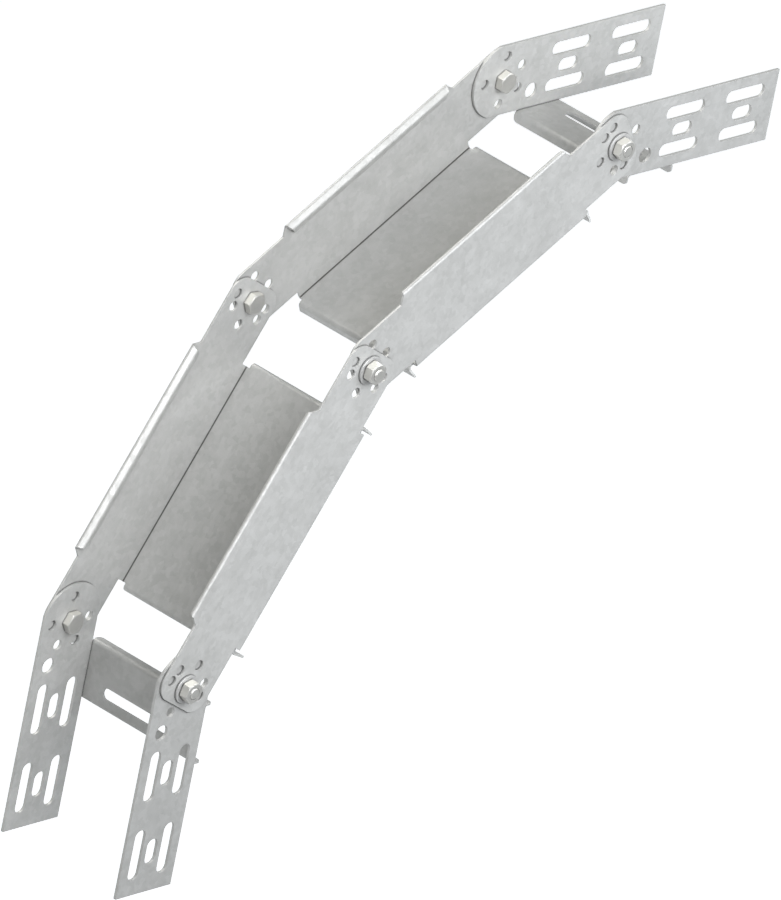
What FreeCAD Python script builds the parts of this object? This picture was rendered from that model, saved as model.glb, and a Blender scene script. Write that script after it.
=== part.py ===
import FreeCAD, Part
import math
import os

# Adjustable riser for a perforated cable tray: two folded channel lengths and four
# slotted end plates, pinned together by six hexagon-head bolts.
# Millimetres, +Z up. Origin: middle of the lower end plates' outer ends, halfway
# across the tray. The lower plates stand along +Z, the upper plates run along +X.

V = FreeCAD.Vector

# ---- driving dimensions ------------------------------------------------------
plate_gap_mid = 100.0        # between the mid-planes of a pair of end plates
plate_t = 2.0                # end plate sheet
channel_t = 1.5              # channel sheet
stagger_y = 1.5              # the upper half sits one sheet further along +Y

hinge_to_hinge = 227.45      # bolt centre to bolt centre along one channel
bend_deg = 30.0              # turn at each of the three hinges as stored

# end plate, in u (from the hinge to the outer end) and w (across)
plate_u_end = 142.45
plate_half_h = 24.55
plate_nose_r = 25.8
slot_w = 9.2
slot_long = 35.0
slot_short = 17.5
slot_row_w = 12.9
slot_u_inner = 59.4
slot_u_outer = 114.15
plate_big_hole_d = 10.5
plate_big_hole_u = 28.8
plate_big_hole_w = 12.7
ring_hole_d = 7.0
ring_r = 16.6
plate_pair_r = 17.2          # two index holes ahead of the bolt
plate_pair_deg = 27.5

# channel, in a (along) and l (+ towards the open side)
end_past_hinge = 12.2
end_low = -24.7
end_high = 24.2
end_corner_r = 12.2
bottom_out = -31.2
rim_top = 31.3
rim_step_a0 = 37.2
rim_step_a1 = 40.6
# rolled rim, as turned in (d, l): d runs inwards from the side's outer face
rim_ro1, rim_turn1 = 1.65, 135.0     # first bend, over the top
rim_facet = 2.41                     # sloping flat on the inside of the top
rim_ro2, rim_turn2 = 1.8, 201.0      # second bend, back towards the side
rim_return = 5.24                    # to the free edge, just clear of the side
rim_cut_d = 0.45                     # the roll's ends are cut back as it goes inwards
rim_cut_l = 0.40                     # and down
bottom_fold_a = 36.7         # where the side-to-bottom fold starts
fold_ri = 0.3
lip_a = 32.4                 # the turned-down lip's furthest point towards the hinge
lip_bend_ro = 3.0
lip_bend_deg = 100.5         # bent a little past square
lip_tip_l = -39.4
lip_half_y = 48.5            # at the bend
lip_half_tip = 50.8          # at the free edge

# joint strip, C section across the tray
strip_t = 1.25
strip_u0 = 18.0
strip_u1 = 59.7
strip_depth = 7.5
strip_bend_ro = 3.0
strip_w_in = plate_half_h    # face on the plates' closed edges
strip_half_y = 49.6
strip_slot_len = 65.0
strip_slot_w = 7.6
strip_slot_u = 47.5
strip_corner_r = 3.0

# M8 fasteners
bolt_d = 8.0
hole_bolt_d = 8.1
head_af = 13.0
head_h = 5.3
shank_len = 12.1             # under the head
washer_od = 18.9
washer_id = 8.4
washer_t = 1.6
nut_h = 6.5

# ---- where things are --------------------------------------------------------
HX1, HZ1 = 0.0, plate_u_end
a1 = math.radians(90.0 - bend_deg)
a2 = math.radians(90.0 - 2 * bend_deg)
HX2, HZ2 = HX1 + hinge_to_hinge * math.cos(a1), HZ1 + hinge_to_hinge * math.sin(a1)
HX3, HZ3 = HX2 + hinge_to_hinge * math.cos(a2), HZ2 + hinge_to_hinge * math.sin(a2)

half_gap = plate_gap_mid / 2 - plate_t / 2           # inner faces of the plates
plate_out = plate_gap_mid / 2 + plate_t / 2          # outer faces of the plates

os.makedirs("parts", exist_ok=True)


def save(name, shape):
    if not shape.isValid():
        raise RuntimeError(name + " is not a valid solid")
    shape.exportStep("parts/%s.step" % name)
    print("%-26s %2d solids %9.1f mm3" % (name, len(shape.Solids), shape.Volume))


def one(shape):
    s = shape.removeSplitter()
    if len(s.Solids) != 1:
        raise RuntimeError("expected one solid, got %d" % len(s.Solids))
    return s.Solids[0]


def poly(points, y0, depth):
    """Prism of an (x, z) outline from y0 along +Y."""
    w = Part.makePolygon([V(x, y0, z) for x, z in points + points[:1]])
    return Part.Face(w).extrude(V(0, depth, 0))


def cyl_y(x, z, d, y0, depth):
    return Part.makeCylinder(d / 2, depth, V(x, y0, z), V(0, 1, 0))


def slot_y(x, z, length, width, y0, depth, along_x=True):
    r = width / 2
    h = length / 2 - r
    dx, dz = (h, 0) if along_x else (0, h)
    if along_x:
        body = Part.makeBox(2 * h, depth, width, V(x - h, y0, z - r))
    else:
        body = Part.makeBox(width, depth, 2 * h, V(x - r, y0, z - h))
    return body.fuse([cyl_y(x - dx, z - dz, width, y0, depth),
                      cyl_y(x + dx, z + dz, width, y0, depth)])


def round_vertical_edges(shape, corners, r):
    """Fillets the edges along Y that pass through the given (x, z) corners."""
    pick = []
    for e in shape.Edges:
        p, q = e.Vertexes[0].Point, e.Vertexes[-1].Point
        if abs(p.x - q.x) < 1e-6 and abs(p.z - q.z) < 1e-6 and abs(p.y - q.y) > 1e-6:
            for cx, cz in corners:
                if abs(p.x - cx) < 1e-4 and abs(p.z - cz) < 1e-4:
                    pick.append(e)
    return shape.makeFillet(r, pick) if pick else shape


# ---- end plate: local x = u, local z = w, sheet from y = 0 to plate_t ---------
def end_plate():
    flat_u = math.sqrt(plate_nose_r ** 2 - plate_half_h ** 2)
    body = Part.makeBox(plate_u_end - 0.0, plate_t, 2 * plate_half_h, V(0, 0, -plate_half_h))
    nose = Part.makeCylinder(plate_nose_r, plate_t, V(0, 0, 0), V(0, 1, 0))
    band = Part.makeBox(2 * plate_nose_r, plate_t, 2 * plate_half_h,
                        V(-plate_nose_r, 0, -plate_half_h))
    body = body.fuse(nose.common(band))
    cuts = [cyl_y(0, 0, hole_bolt_d, -1, plate_t + 2)]
    for u in (slot_u_inner, slot_u_outer):
        for w in (-slot_row_w, slot_row_w):
            cuts.append(slot_y(u, w, slot_long, slot_w, -1, plate_t + 2))
        cuts.append(slot_y(u, 0, slot_short, slot_w, -1, plate_t + 2))
    cuts.append(cyl_y(plate_big_hole_u, plate_big_hole_w, plate_big_hole_d, -1, plate_t + 2))
    for deg, r in ((180, ring_r), (90, ring_r), (-90, ring_r),
                   (plate_pair_deg, plate_pair_r), (-plate_pair_deg, plate_pair_r)):
        t = math.radians(deg)
        cuts.append(cyl_y(r * math.cos(t), r * math.sin(t), ring_hole_d, -1, plate_t + 2))
    for c in cuts:
        body = body.cut(c)
    return one(body)


# ---- channel: local x = a, local z = l, centred on y = 0 ----------------------
def channel():
    L = hinge_to_hinge
    t = channel_t
    yi, yo = plate_out, plate_out + t        # side sheet inner and outer faces
    fold_ro = fold_ri + t
    l_in = bottom_out + t                    # inside face of the bottom

    def mirrored(points):
        return points + [(L - a, l) for a, l in reversed(points)]

    # flat side sheet, up to where the rim starts to roll and down to the fold
    roll_l = rim_top - rim_ro1
    side_pts = mirrored([(-end_past_hinge, end_low), (-end_past_hinge, end_high),
                         (rim_step_a0, end_high), (rim_step_a1, roll_l)])
    # lower outline, from the end's corner straight to the step down to the fold line
    fold_l = bottom_out + fold_ro
    low = [(bottom_fold_a, end_low), (bottom_fold_a, fold_l)]
    outline = side_pts + [(L - a, l) for a, l in low] + [(a, l) for a, l in reversed(low)]
    side = poly(outline, yi, t)
    side = round_vertical_edges(side, [(-end_past_hinge, end_low), (-end_past_hinge, end_high),
                                       (L + end_past_hinge, end_low),
                                       (L + end_past_hinge, end_high)], end_corner_r)

    # rolled rim: over the top, down an inward slope and back to the side
    def nrm(deg):
        r = math.radians(deg)
        return (-math.cos(r), math.sin(r))

    def along(deg):
        r = math.radians(deg)
        return (math.sin(r), math.cos(r))

    def off(p, k, v):
        return (p[0] + k * v[0], p[1] + k * v[1])

    def at3(p):
        return V(0, yo - p[0], p[1])

    c1 = (rim_ro1, roll_l)
    c2 = off(off(off(c1, rim_ro1, nrm(rim_turn1)), rim_facet, along(rim_turn1)),
             -rim_ro2, nrm(rim_turn1))
    wire = []
    for r1, r2 in ((rim_ro1, rim_ro2), (rim_ro1 - t, rim_ro2 - t)):
        p0, pm, p1 = [off(c1, r1, nrm(d)) for d in (0, rim_turn1 / 2, rim_turn1)]
        q0, qm, q1 = [off(c2, r2, nrm(d)) for d in (rim_turn1, (rim_turn1 + rim_turn2) / 2,
                                                    rim_turn2)]
        q2 = off(q1, rim_return, along(rim_turn2))
        wire.append((p0, pm, p1, q0, qm, q1, q2))
    edges = []
    for p0, pm, p1, q0, qm, q1, q2 in wire:
        edges += [Part.Arc(at3(p0), at3(pm), at3(p1)).toShape(), Part.makeLine(at3(p1), at3(q0)),
                  Part.Arc(at3(q0), at3(qm), at3(q1)).toShape(), Part.makeLine(at3(q1), at3(q2))]
    edges += [Part.makeLine(at3(wire[0][0]), at3(wire[1][0])),
              Part.makeLine(at3(wire[0][6]), at3(wire[1][6]))]
    section = Part.Face(Part.Wire(Part.__sortEdges__(edges)))
    rim = section.extrude(V(L, 0, 0))
    a0, a1_, d1 = rim_step_a1, rim_step_a1 + 5.0 * rim_cut_d, 5.0
    plan = [(a0, yo + 1), (a0, yo), (a1_, yo - d1), (a1_, yo - d1 - 4)]
    plan = plan + [(L - a, y) for a, y in reversed(plan)]
    w = Part.makePolygon([V(a, y, 0) for a, y in plan + plan[:1]])
    rim = rim.common(Part.Face(w).extrude(V(0, 0, rim_top + 5)))
    knee, foot = c2[1], c2[1] - 10.0
    front = [(a0 - 1, rim_top + 5), (a0 - 1, knee), (a1_, knee), (a1_ + 10.0 * rim_cut_l, foot)]
    front = mirrored(front)
    w = Part.makePolygon([V(a, 0, z) for a, z in front + front[:1]])
    rim = rim.common(Part.Face(w).extrude(V(0, yo + 5, 0)))

    # side-to-bottom fold
    fa0, fa1 = bottom_fold_a, L - bottom_fold_a
    fcy, fcl = yo - fold_ro, bottom_out + fold_ro
    fold = Part.makeCylinder(fold_ro, fa1 - fa0, V(fa0, fcy, fcl), V(1, 0, 0))
    fold = fold.cut(Part.makeCylinder(fold_ri, fa1 - fa0 + 2, V(fa0 - 1, fcy, fcl), V(1, 0, 0)))
    fold = fold.common(Part.makeBox(fa1 - fa0, fold_ro, fold_ro, V(fa0, fcy, fcl - fold_ro)))

    half = side.fuse([rim, fold])
    other = half.mirror(V(0, 0, 0), V(0, 1, 0))

    # bottom: full width between the folds, narrower towards the lips
    b0 = lip_a + lip_bend_ro
    wide = Part.makeBox(fa1 - fa0, 2 * fcy, t, V(fa0, -fcy, bottom_out))
    tongue = Part.makeBox(L - 2 * b0, 2 * lip_half_y, t, V(b0, -lip_half_y, bottom_out))
    # lips: turned away from the cables, a little past square, wider at the free edge
    cl = l_in - lip_bend_ro
    ri = lip_bend_ro - t
    end_t = math.radians(90 + lip_bend_deg)
    mid_t = math.radians(90 + lip_bend_deg / 2)

    def at(r, ang):
        return V(b0 + r * math.cos(ang), -60, cl + r * math.sin(ang))

    run = (at(lip_bend_ro, end_t).z - lip_tip_l) / -math.cos(end_t)
    step = V(-math.sin(end_t), 0, math.cos(end_t)) * run
    o1, o2, i1, i2 = at(lip_bend_ro, math.pi / 2), at(lip_bend_ro, end_t), \
        at(ri, math.pi / 2), at(ri, end_t)
    section = Part.Wire([
        Part.Arc(o1, at(lip_bend_ro, mid_t), o2).toShape(),
        Part.makeLine(o2, o2 + step), Part.makeLine(o2 + step, i2 + step),
        Part.makeLine(i2 + step, i2),
        Part.Arc(i2, at(ri, mid_t), i1).toShape(), Part.makeLine(i1, o1)])
    lip = Part.Face(section).extrude(V(0, 120, 0))
    grow = (lip_half_tip - lip_half_y) / (cl - 0.5 - lip_tip_l)
    low_y = lip_half_tip + grow
    pts = [(-lip_half_y, l_in + 1), (lip_half_y, l_in + 1), (lip_half_y, cl - 0.5),
           (low_y, lip_tip_l - 1), (-low_y, lip_tip_l - 1), (-lip_half_y, cl - 0.5)]
    w = Part.makePolygon([V(lip_a - 2, y, z) for y, z in pts + pts[:1]])
    lip = lip.common(Part.Face(w).extrude(V(12, 0, 0)))
    pieces = [wide, tongue, lip, lip.mirror(V(L / 2, 0, 0), V(1, 0, 0))]
    body = half.fuse([other] + pieces)

    # bolt holes and index holes, through both sides
    holes = []
    for h, s in ((0.0, 1), (L, -1)):
        holes.append(cyl_y(h, 0, hole_bolt_d, -yo - 1, 2 * yo + 2))
        for deg in (0, 60, -60, 90, -90):
            t_ = math.radians(deg)
            holes.append(cyl_y(h + s * ring_r * math.cos(t_), ring_r * math.sin(t_),
                               ring_hole_d, -yo - 1, 2 * yo + 2))
    for c in holes:
        body = body.cut(c)
    return one(body)


# ---- joint strip: local x = u, local z = w (face towards the cables at z = 0) -
def strip():
    t, ro = strip_t, strip_bend_ro
    ri = ro - t
    n = 2 * strip_half_y
    y0 = -strip_half_y
    web = Part.makeBox(strip_u1 - strip_u0 - 2 * ro, n, t, V(strip_u0 + ro, y0, 0))
    parts = []
    for end in (0, 1):
        cx = strip_u0 + ro if end == 0 else strip_u1 - ro
        b = Part.makeCylinder(ro, n, V(cx, y0, ro), V(0, 1, 0))
        b = b.cut(Part.makeCylinder(ri, n + 2, V(cx, y0 - 1, ro), V(0, 1, 0)))
        x0 = cx - ro if end == 0 else cx
        b = b.common(Part.makeBox(ro, n, ro, V(x0, y0, 0)))
        fx = strip_u0 if end == 0 else strip_u1 - t
        r = strip_corner_r
        f = Part.makeBox(t, n, strip_depth - ro, V(fx, y0, ro))
        pick = []
        for e in f.Edges:
            p, q = e.Vertexes[0].Point, e.Vertexes[-1].Point
            if abs(p.z - strip_depth) < 1e-6 and abs(q.z - strip_depth) < 1e-6 \
                    and abs(p.y - q.y) < 1e-6:
                pick.append(e)
        f = f.makeFillet(r, pick)
        parts += [b, f]
    body = web.fuse(parts)
    h = strip_slot_len / 2 - strip_slot_w / 2
    r = strip_slot_w / 2
    cut = Part.makeBox(strip_slot_w, 2 * h, t + 2, V(strip_slot_u - r, -h, -1))
    for s in (-1, 1):
        cut = cut.fuse(Part.makeCylinder(r, t + 2, V(strip_slot_u, s * h, -1), V(0, 0, 1)))
    return one(body.cut(cut))


# ---- fasteners: axis along +Y from the sheet they clamp -----------------------
def hex_prism(af, h, y0, turn_deg):
    r = af / 2 / math.cos(math.radians(30))
    pts = []
    for i in range(6):
        t = math.radians(turn_deg + 60 * i)
        pts.append((r * math.cos(t), r * math.sin(t)))
    return poly(pts, y0, h)


def chamfered_hex(af, h, y0, turn_deg, low, high):
    """Hexagon with its corners turned off at 30 degrees on the chosen faces."""
    p = hex_prism(af, h, y0, turn_deg)
    r = af / 2 / math.cos(math.radians(30))
    d = 0.475 * af
    k = math.tan(math.radians(30))
    rise = (r - d) * k
    if high:
        tool = Part.makeCone(d, d + (h + 2) / k, h + 2, V(0, y0 + h, 0), V(0, -1, 0))
        p = p.common(tool)
    if low:
        tool = Part.makeCone(d, d + (h + 2) / k, h + 2, V(0, y0, 0), V(0, 1, 0))
        p = p.common(tool)
    return p


def bolt(turn_deg):
    """Head below y = 0, shank from 0 to shank_len along +Y."""
    head = chamfered_hex(head_af, head_h, -head_h, turn_deg, True, False)
    shank = Part.makeCylinder(bolt_d / 2, shank_len - 0.8, V(0, 0, 0), V(0, 1, 0))
    tip = Part.makeCone(bolt_d / 2, bolt_d / 2 - 0.8, 0.8, V(0, shank_len - 0.8, 0), V(0, 1, 0))
    return one(head.fuse([shank, tip]))


def washer():
    o = Part.makeCylinder(washer_od / 2, washer_t, V(0, 0, 0), V(0, 1, 0))
    o = o.makeChamfer(0.25, [e for e in o.Edges if abs(e.Length - math.pi * washer_od) < 1e-3])
    return one(o.cut(Part.makeCylinder(washer_id / 2, washer_t + 2, V(0, -1, 0), V(0, 1, 0))))


def nut(turn_deg):
    n = chamfered_hex(head_af, nut_h, 0, turn_deg, True, True)
    # the thread is engaged: the bore is the bolt's own diameter
    n = n.cut(Part.makeCylinder(bolt_d / 2, nut_h + 2, V(0, -1, 0), V(0, 1, 0)))
    return one(n)


def place(shape, x, y, z, direction_deg):
    """Local x to the given direction in the X-Z plane, then to (x, y, z)."""
    s = shape.copy()
    s.rotate(V(0, 0, 0), V(0, 1, 0), -direction_deg)
    s.translate(V(x, y, z))
    return s


# channels: local x along the run, local z turns to the open side
chan = channel()
save("lower_channel", place(chan, HX1, 0, HZ1, 90 - bend_deg))
save("upper_channel", place(chan, HX2, stagger_y, HZ2, 90 - 2 * bend_deg))

# end plates: w runs clockwise from u as seen from -Y
plate = end_plate()
plate = plate.mirror(V(0, 0, 0), V(0, 0, 1))       # local z becomes -w
save("lower_plate_near", place(plate, HX1, -plate_out, HZ1, -90))
save("lower_plate_far", place(plate, HX1, half_gap, HZ1, -90))
save("upper_plate_near", place(plate, HX3, stagger_y - plate_out, HZ3, 0))
save("upper_plate_far", place(plate, HX3, stagger_y + half_gap, HZ3, 0))

# joint strips, on the closed side of each pair of plates
st = strip()
lower = st.copy()                                   # w+ here is the closed side
lower.translate(V(0, 0, strip_w_in))
lower.rotate(V(0, 0, 0), V(0, 1, 0), 90)            # u down, w to +X
lower.translate(V(HX1, 0, HZ1))
save("lower_joint_strip", lower)
upper = st.mirror(V(0, 0, 0), V(0, 0, 1))
upper.translate(V(HX3, stagger_y, HZ3 - strip_w_in))
save("upper_joint_strip", upper)


def fasten(tag, x, z, y_head, y_washer, out, head_turn, nut_turn):
    """out is +1 for the far side and -1 for the near side."""
    b, w, n = bolt(head_turn), washer(), nut(nut_turn)
    if out < 0:
        b, w, n = [s.mirror(V(0, 0, 0), V(0, 1, 0)) for s in (b, w, n)]
    b.translate(V(x, y_head, z))
    w.translate(V(x, y_washer, z))
    n.translate(V(x, y_washer + out * washer_t, z))
    save("bolt_" + tag, b)
    save("washer_" + tag, w)
    save("nut_" + tag, n)


ci, co = plate_out, plate_out + channel_t
fasten("lower_near", HX1, HZ1, -half_gap, -co, -1, 21, 14)
fasten("lower_far", HX1, HZ1, half_gap, co, 1, 0, 37)
fasten("middle_near", HX2, HZ2, stagger_y - ci, -co, -1, 8, 25)
fasten("middle_far", HX2, HZ2, ci, stagger_y + co, 1, 54, 12)
fasten("upper_near", HX3, HZ3, stagger_y - half_gap, stagger_y - co, -1, 46, 19)
fasten("upper_far", HX3, HZ3, stagger_y + half_gap, stagger_y + co, 1, 30, 5)
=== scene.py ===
import math

import bpy
from mathutils import Matrix, Vector

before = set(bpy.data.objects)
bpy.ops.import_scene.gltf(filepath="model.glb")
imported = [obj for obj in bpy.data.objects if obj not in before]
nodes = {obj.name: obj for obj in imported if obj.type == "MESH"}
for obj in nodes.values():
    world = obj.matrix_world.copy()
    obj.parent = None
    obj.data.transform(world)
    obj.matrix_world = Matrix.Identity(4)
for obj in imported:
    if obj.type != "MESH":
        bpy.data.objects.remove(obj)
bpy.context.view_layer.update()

scene = bpy.context.scene

# ---- look -------------------------------------------------------------------------
SHEET_BASE = 0.40            # mean reflectance of the galvanised sheet
SHEET_METAL = 0.22
SHEET_ROUGH = 0.42
ZINC_BASE = 0.56
ZINC_METAL = 0.70
ZINC_ROUGH = 0.42
WORLD = 0.20
FLOOR_GLOW = 0.85            # the floor behind the object glows: painted light that makes the backdrop there white


# ---- small node-graph helper --------------------------------------------------------
class Graph:
    def __init__(self, name):
        self.mat = bpy.data.materials.new(name)
        self.mat.use_nodes = True
        self.nt = self.mat.node_tree
        self.nt.nodes.clear()

    def add(self, kind, inputs=None, **props):
        n = self.nt.nodes.new(kind)
        for k, v in props.items():
            setattr(n, k, v)
        for k, v in (inputs or {}).items():
            if isinstance(v, bpy.types.NodeSocket):
                self.nt.links.new(v, n.inputs[k])
            else:
                n.inputs[k].default_value = v
        return n

    def math(self, op, a, b=0.0, clamp=False):
        return self.add("ShaderNodeMath", operation=op, use_clamp=clamp, inputs={0: a, 1: b}).outputs[0]

    def vec(self, op, a, b=(0, 0, 0)):
        n = self.add("ShaderNodeVectorMath", operation=op, inputs={0: a, 1: b})
        return n.outputs["Value" if op == "DOT_PRODUCT" else 0]

    def scaled(self, a, k):
        return self.add("ShaderNodeVectorMath", operation="SCALE", inputs={0: a, "Scale": k}).outputs[0]

    def remap(self, v, a, b, c, d):
        return self.add("ShaderNodeMapRange", clamp=True,
                        inputs={"Value": v, "From Min": a, "From Max": b, "To Min": c, "To Max": d}).outputs[0]

    def mix(self, f, a, b):
        return self.add("ShaderNodeMix", data_type="RGBA", inputs={0: f, 6: a, 7: b}).outputs[2]

    def noise(self, vector, scale, detail=2.0, rough=0.6):
        return self.add("ShaderNodeTexNoise", noise_dimensions="3D",
                        inputs={"Vector": vector, "Scale": scale, "Detail": detail, "Roughness": rough})

    def centred(self, v, k):
        return self.math("MULTIPLY", self.math("SUBTRACT", v, 0.5), k)

    def edges(self, radius, lo, hi):
        """Rounded normal, how much of an outer edge, and how open the place is (0 in a crease, where the
        callers paint shade).
        """
        normal = self.add("ShaderNodeNewGeometry").outputs["Normal"]
        bevel = self.add("ShaderNodeBevel", samples=4, inputs={"Radius": radius}).outputs[0]
        ao = self.add("ShaderNodeAmbientOcclusion", samples=6, only_local=False,
                      inputs={"Distance": 0.0016}).outputs["AO"]
        unshaded = self.remap(ao, 0.42, 0.84, 0.0, 1.0)
        e = self.remap(self.math("SUBTRACT", 1.0, self.vec("DOT_PRODUCT", normal, bevel)), lo, hi, 0.0, 1.0)
        return bevel, self.math("MULTIPLY", e, unshaded), unshaded


def galvanised(name, along, seed, level, fold=None):
    """Clean galvanised sheet, with shade painted into its creases. along is the way the sheet was rolled, fold
    tells where the two folds beside a channel's bottom are: shade is painted inside them."""
    g = Graph(name)
    co = g.add("ShaderNodeTexCoord").outputs["Object"]
    at = g.vec("ADD", co, (seed * 0.37, seed * 0.71, seed * 0.53))
    # crystals: ragged cells, each with its own tone, gloss and slight tilt
    wob = g.scaled(g.vec("SUBTRACT", g.noise(at, 420.0).outputs["Color"], (0.5, 0.5, 0.5)), 0.0030)
    vor = g.add("ShaderNodeTexVoronoi", voronoi_dimensions="3D", feature="F1",
                inputs={"Vector": g.vec("ADD", at, wob), "Scale": 290.0})
    cell = g.add("ShaderNodeSeparateColor", inputs={0: vor.outputs["Color"]})
    # clouds of the zinc bath, and faint lines of the rolled strip
    cloud = g.noise(at, 75.0, 3.0, 0.6).outputs["Fac"]
    broad = g.noise(at, 14.0, 2.0, 0.5).outputs["Fac"]
    turn = Vector(along).normalized().to_track_quat("X", "Z").inverted().to_euler()
    turned = g.add("ShaderNodeMapping", inputs={"Vector": at, "Rotation": tuple(turn)}).outputs[0]
    lines = g.noise(g.vec("MULTIPLY", turned, (14.0, 420.0, 420.0)), 1.0).outputs["Fac"]
    grain = g.noise(at, 1500.0, 2.0, 0.7).outputs["Fac"]
    bevel, edge, unshaded = g.edges(0.00035, 0.02, 0.2)

    tone = g.math("ADD", g.centred(cell.outputs[0], 0.42), g.centred(cloud, 0.95))
    tone = g.math("ADD", tone, g.centred(broad, 0.6))
    tone = g.math("ADD", tone, g.centred(lines, 0.30))
    tone = g.math("ADD", tone, g.centred(grain, 0.50))
    tone = g.math("ADD", tone, 0.5, clamp=True)
    a, b = level * 0.87, level * 1.13
    base = g.mix(tone, (a, a, a * 0.97, 1), (b, b, b * 0.98, 1))
    # outer edges lighter: edge wear, and partly a painted highlight along them
    base = g.mix(g.math("MULTIPLY", edge, 0.2), base, (0.66, 0.66, 0.65, 1))
    # painted shade: the colour goes dark where the place is closed in, in creases and where parts meet
    base = g.mix(unshaded, (0.05, 0.05, 0.048, 1), base)
    if fold:
        out, run, level0, y0, half, bend, a0, a1 = fold
        facing = g.add("ShaderNodeTexCoord").outputs["Normal"]
        side = g.math("SUBTRACT", g.vec("DOT_PRODUCT", co, (0, 1, 0)), y0)
        inward = g.math("MULTIPLY", g.vec("DOT_PRODUCT", facing, (0, -1, 0)), g.math("SIGN", side))
        inner = g.math("GREATER_THAN", g.math("MAXIMUM", g.vec("DOT_PRODUCT", facing, out), inward), 0.05)
        band = g.math("MULTIPLY", g.math("GREATER_THAN", g.math("ABSOLUTE", side), half - 0.0003),
                      g.math("LESS_THAN", g.vec("DOT_PRODUCT", co, out), level0 + bend + 0.0003))
        at_run = g.vec("DOT_PRODUCT", co, run)
        span = g.math("MULTIPLY", g.math("GREATER_THAN", at_run, a0), g.math("LESS_THAN", at_run, a1))
        fold_shade = g.math("MULTIPLY", g.math("MULTIPLY", inner, band), span)
        # painted shade: the inside of the two folds beside a channel's bottom is painted dark
        base = g.mix(g.math("MULTIPLY", fold_shade, 0.95), base, (0.085, 0.082, 0.076, 1))
    r = g.math("ADD", g.centred(cell.outputs[1], 0.12), SHEET_ROUGH)
    r = g.math("ADD", r, g.centred(cloud, 0.14))
    r = g.math("SUBTRACT", r, g.math("MULTIPLY", edge, 0.08), clamp=True)
    tilt = g.scaled(g.vec("SUBTRACT", vor.outputs["Color"], (0.5, 0.5, 0.5)), 0.05)
    tilted = g.vec("NORMALIZE", g.vec("ADD", bevel, tilt))
    height = g.math("ADD", g.math("MULTIPLY", grain, 0.5), g.math("MULTIPLY", lines, 0.3))
    bump = g.add("ShaderNodeBump", inputs={"Strength": 0.22, "Distance": 0.0001, "Height": height,
                                           "Normal": tilted})
    s = g.add("ShaderNodeBsdfPrincipled", inputs={"Base Color": base, "Metallic": SHEET_METAL, "Roughness": r,
                                                  "Specular IOR Level": 0.5, "Normal": bump.outputs[0]})
    g.add("ShaderNodeOutputMaterial", inputs={"Surface": s.outputs[0]})
    return g.mat


def zinc_plate(name, seed, level, warm, metal, rough):
    """Bright zinc plating on a forged, machined fastener."""
    g = Graph(name)
    co = g.add("ShaderNodeTexCoord").outputs["Object"]
    at = g.vec("ADD", co, (seed * 0.31, seed * 0.17, seed * 0.59))
    cloud = g.noise(at, 240.0, 4.0, 0.6).outputs["Fac"]
    grain = g.noise(at, 3200.0, 2.0, 0.6).outputs["Fac"]
    bevel, edge, unshaded = g.edges(0.0004, 0.02, 0.15)
    tone = g.math("ADD", g.centred(cloud, 1.2), g.centred(grain, 0.4))
    tone = g.math("ADD", tone, 0.5, clamp=True)
    a, b = level * 0.9, level * 1.1
    base = g.mix(tone, (a, a * (1 - 0.1 * warm), a * (1 - 0.5 * warm), 1),
                 (b, b * (1 - 0.1 * warm), b * (1 - 0.5 * warm), 1))
    # outer edges lighter: edge wear, and partly a painted highlight along them
    base = g.mix(g.math("MULTIPLY", edge, 0.25), base, (0.80, 0.79, 0.76, 1))
    # painted shade: the colour goes dark in creases and where parts meet
    base = g.mix(unshaded, (0.08, 0.08, 0.075, 1), base)
    r = g.math("ADD", g.centred(cloud, 0.2), rough, clamp=True)
    bump = g.add("ShaderNodeBump", inputs={"Strength": 0.15, "Distance": 0.00008, "Height": grain,
                                           "Normal": bevel})
    s = g.add("ShaderNodeBsdfPrincipled", inputs={"Base Color": base, "Metallic": metal, "Roughness": r,
                                                  "Normal": bump.outputs[0]})
    g.add("ShaderNodeOutputMaterial", inputs={"Surface": s.outputs[0]})
    return g.mat


run_low = (math.cos(math.radians(60)), 0, math.sin(math.radians(60)))
run_up = (math.cos(math.radians(30)), 0, math.sin(math.radians(30)))
# each piece's tone is scaled separately: the far plates' 1.12 against the near plates' 1.0 is painted light,
# lighter copies of one sheet making up for light they get less of; the other factors give each piece a tone of
# its own
SHEETS = {
    "lower_channel": (run_low, 1, 1.12), "upper_channel": (run_up, 2, 1.07),
    "lower_plate_near": ((0, 0, 1), 3, 1.0), "lower_plate_far": ((0, 0, 1), 4, 1.12),
    "upper_plate_near": ((1, 0, 0), 5, 1.0), "upper_plate_far": ((1, 0, 0), 6, 1.12),
    "lower_joint_strip": ((0, 1, 0), 7, 1.0), "upper_joint_strip": ((0, 1, 0), 8, 1.05),
}


def folds_of(name, along):
    """The bottom of a channel, in the object's own coordinates: its normal on the open side, the way it runs,
    its level, the middle and half width of its flat, the bend beside it and where the flat starts and ends."""
    o = nodes[name]
    turn = o.matrix_world.to_3x3().inverted()
    out = (turn @ Vector((-along[2], 0, along[0]))).normalized()
    run = (turn @ Vector(along)).normalized()
    me = o.data
    flat = [f for f in me.polygons if f.normal.dot(out) > 0.999]
    level = max(flat, key=lambda f: f.area).center.dot(out)
    pts = [me.vertices[v].co for f in flat if abs(f.center.dot(out) - level) < 1e-4 for v in f.vertices]
    ys, rs = [p.y for p in pts], [p.dot(run) for p in pts]
    y0, half = (min(ys) + max(ys)) / 2, (max(ys) - min(ys)) / 2
    wall = [f for f in me.polygons if f.normal.y * (f.center.y - y0) < -0.999 * abs(f.center.y - y0)]
    bend = abs(max(wall, key=lambda f: f.area).center.y - y0) - half
    return tuple(out), tuple(run), level, y0, half, bend, min(rs), max(rs)


def dress(name, mat):
    me = nodes[name].data
    me.materials.clear()
    me.materials.append(mat)


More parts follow.
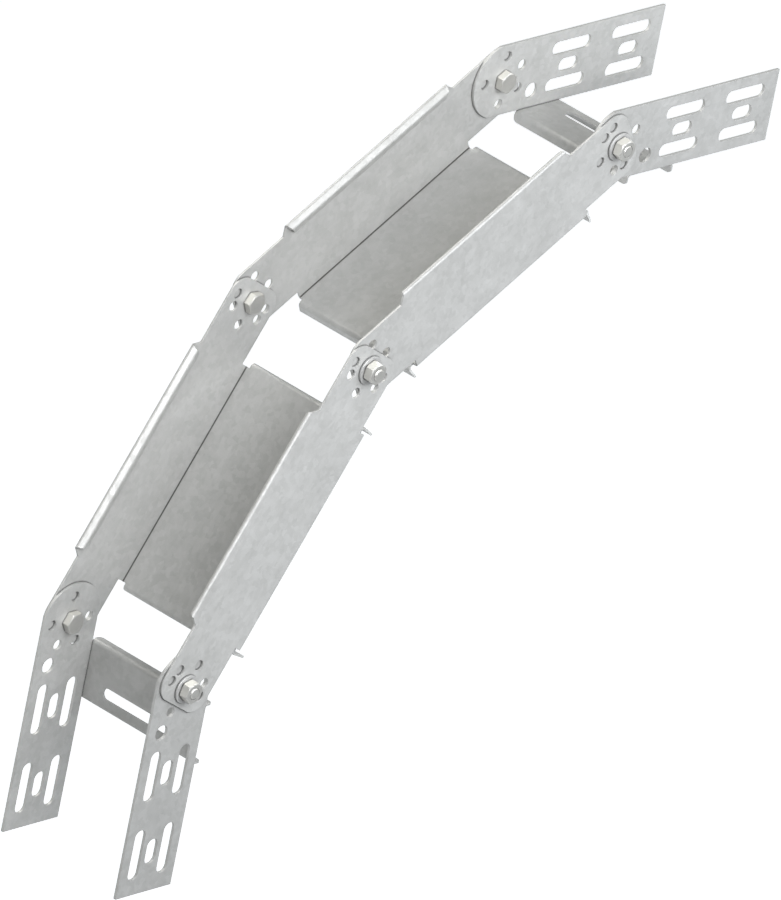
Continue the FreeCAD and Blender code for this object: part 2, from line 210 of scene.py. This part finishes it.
for name, (along, seed, k) in SHEETS.items():
    fold = folds_of(name, along) if name.endswith("channel") else None
    dress(name, galvanised("galvanised_" + name, along, seed, SHEET_BASE * k, fold))
i = 0
for name in nodes:
    if name in SHEETS:
        continue
    i += 1
    if name.startswith("washer"):
        dress(name, zinc_plate("zinc_" + name, i, ZINC_BASE * 0.8, 0.03, 0.4, 0.46))
    else:
        dress(name, zinc_plate("zinc_" + name, i, ZINC_BASE, 0.12, ZINC_METAL, ZINC_ROUGH))

# ---- floor ----------------------------------------------------------------------------
me = bpy.data.meshes.new("floor")
s, z = 30.0, -1.3
me.from_pydata([(-s, -s, z), (s, -s, z), (s, s, z), (-s, s, z)], [], [(0, 1, 2, 3)])
floor = bpy.data.objects.new("floor", me)
scene.collection.objects.link(floor)
g = Graph("pale_floor")
n = g.noise(g.add("ShaderNodeTexCoord").outputs["Object"], 3.0).outputs["Fac"]
c = g.mix(n, (0.90, 0.91, 0.92, 1), (0.94, 0.95, 0.96, 1))
place = g.add("ShaderNodeSeparateXYZ", inputs={0: g.add("ShaderNodeNewGeometry").outputs["Position"]})
# painted light: the floor glows only from 0.9 m on behind the object, where it is seen behind it, and not in
# front of it
glow = g.remap(place.outputs[1], 0.9, 1.5, 0.0, FLOOR_GLOW)
b = g.add("ShaderNodeBsdfPrincipled", inputs={"Base Color": c, "Roughness": 0.9, "Specular IOR Level": 0.2,
                                              "Emission Color": c, "Emission Strength": glow})
g.add("ShaderNodeOutputMaterial", inputs={"Surface": b.outputs[0]})
me.materials.append(g.mat)

# ---- light ----------------------------------------------------------------------------
world = bpy.data.worlds.new("studio")
scene.world = world
world.use_nodes = True
bg = world.node_tree.nodes["Background"]
bg.inputs[0].default_value = (0.93, 0.98, 1.02, 1)
bg.inputs[1].default_value = WORLD

centre = Vector((0.215, 0.0, 0.24))


def area(name, toward, dist, size, watts, colour=(1, 1, 1)):
    d = bpy.data.lights.new(name, "AREA")
    d.shape = "DISK"
    d.size = size
    d.energy = watts
    d.color = colour
    o = bpy.data.objects.new(name, d)
    v = Vector(toward).normalized()
    o.location = centre + v * dist
    o.rotation_euler = v.to_track_quat("Z", "Y").to_euler()
    scene.collection.objects.link(o)
    return o


WARM = (1.0, 0.99, 0.94)
COOL = (0.95, 0.99, 1.04)
area("key_front_top", (-0.20, -0.75, 0.63), 1.8, 0.9, 23.5, (0.99, 1.0, 1.02))
area("key_front_left", (-0.60, -0.70, 0.40), 1.8, 0.9, 18.6, (0.99, 1.0, 1.02))
area("fill_front_right", (0.45, -0.75, 0.50), 1.0, 0.6, 3.9, COOL)
area("top_back_left", (-0.50, 0.30, 0.80), 1.8, 0.9, 4.0, WARM)
area("top_back", (-0.25, 0.60, 0.76), 1.8, 1.6, 10.0, WARM)
area("side_left", (-0.90, -0.10, 0.42), 1.8, 0.9, 4.0, WARM)
area("side_right", (0.80, -0.30, 0.50), 1.8, 0.9, 6.0, WARM)
area("back_top", (0.10, 0.75, 0.65), 1.8, 0.9, 10.0, WARM)

# a glint for the fasteners alone, off the sides of the hexagons that face up and left
glint = area("fastener_glint", (-0.15, 0.578, 0.80), 1.6, 0.9, 25.0, (1.0, 0.99, 0.93))
lit = bpy.data.collections.new("fasteners")
for name, o in nodes.items():
    if name not in SHEETS and not name.startswith("washer"):
        lit.objects.link(o)
glint.light_linking.receiver_collection = lit
glint.light_linking.blocker_collection = lit

# ---- camera: long lens, at the photograph's angle -----------------------------------
right = Vector((0.6859879151233635, -0.7047478792515983, 0.180972392908631))
forward = Vector((0.703192875266552, 0.578235141688435, -0.4137195923459693))
up = Vector((0.1869234080554402, 0.4110651379123877, 0.8922360068468485))
cam_data = bpy.data.cameras.new("camera")
cam_data.lens = 1200.0
cam_data.sensor_width = 36.0
cam_data.clip_start, cam_data.clip_end = 1.0, 120.0
cam = bpy.data.objects.new("camera", cam_data)
cam.matrix_world = Matrix((
    (right.x, up.x, -forward.x, -12.917125829),
    (right.y, up.y, -forward.y, -10.796929897),
    (right.z, up.z, -forward.z, 7.963964568),
    (0, 0, 0, 1)))
scene.collection.objects.link(cam)
scene.camera = cam
scene.view_settings.view_transform = "Standard"
scene.view_settings.look = "None"
